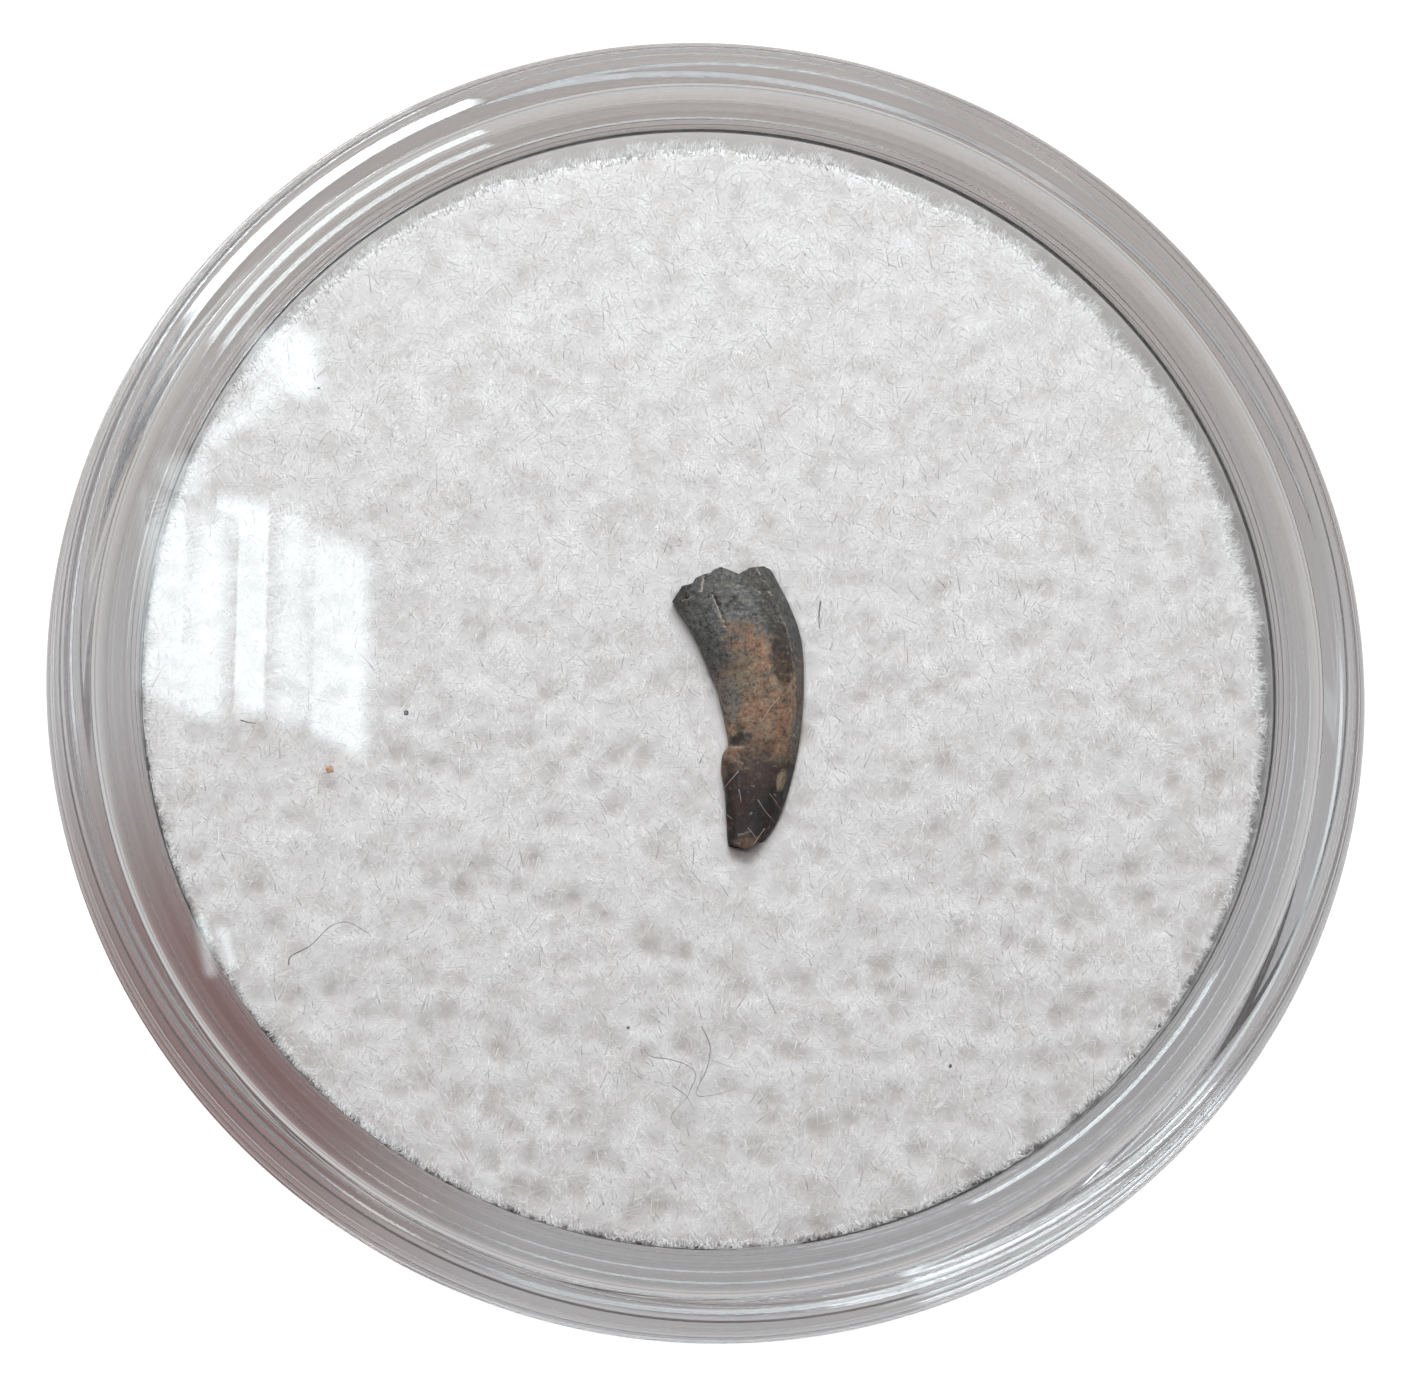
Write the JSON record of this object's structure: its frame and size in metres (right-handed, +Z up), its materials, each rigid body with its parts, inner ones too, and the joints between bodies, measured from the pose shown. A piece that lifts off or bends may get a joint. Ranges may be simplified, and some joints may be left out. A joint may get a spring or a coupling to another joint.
{
  "type": "fossil theropod tooth in a round clear display box",
  "caption": "Small curved fossil tooth lying on a fluffy white fibre pad in a round clear plastic box with a flat lift-off lid.",
  "frame": {"origin": "middle of the box's underside, on the surface that the box stands on", "axes": "+Z up through the lid, +Y towards the broken base of the tooth, +X towards its convex edge"},
  "size_m": [0.038, 0.038, 0.016],
  "materials": {
    "clear_plastic_base": "clear, polished moulded polystyrene",
    "clear_plastic_lid": "clear, polished moulded polystyrene",
    "white_fibre": "matt, fluffy polyester fibre",
    "fossil_enamel": "semi-gloss mineralised enamel, slate grey to orange-brown and near black"
  },
  "bodies": {
    "root": {"box_base": "clear_plastic_base", "box_lid": "clear_plastic_lid", "fibre_pad": "white_fibre", "tooth": "fossil_enamel"}
  },
  "joints": []
}
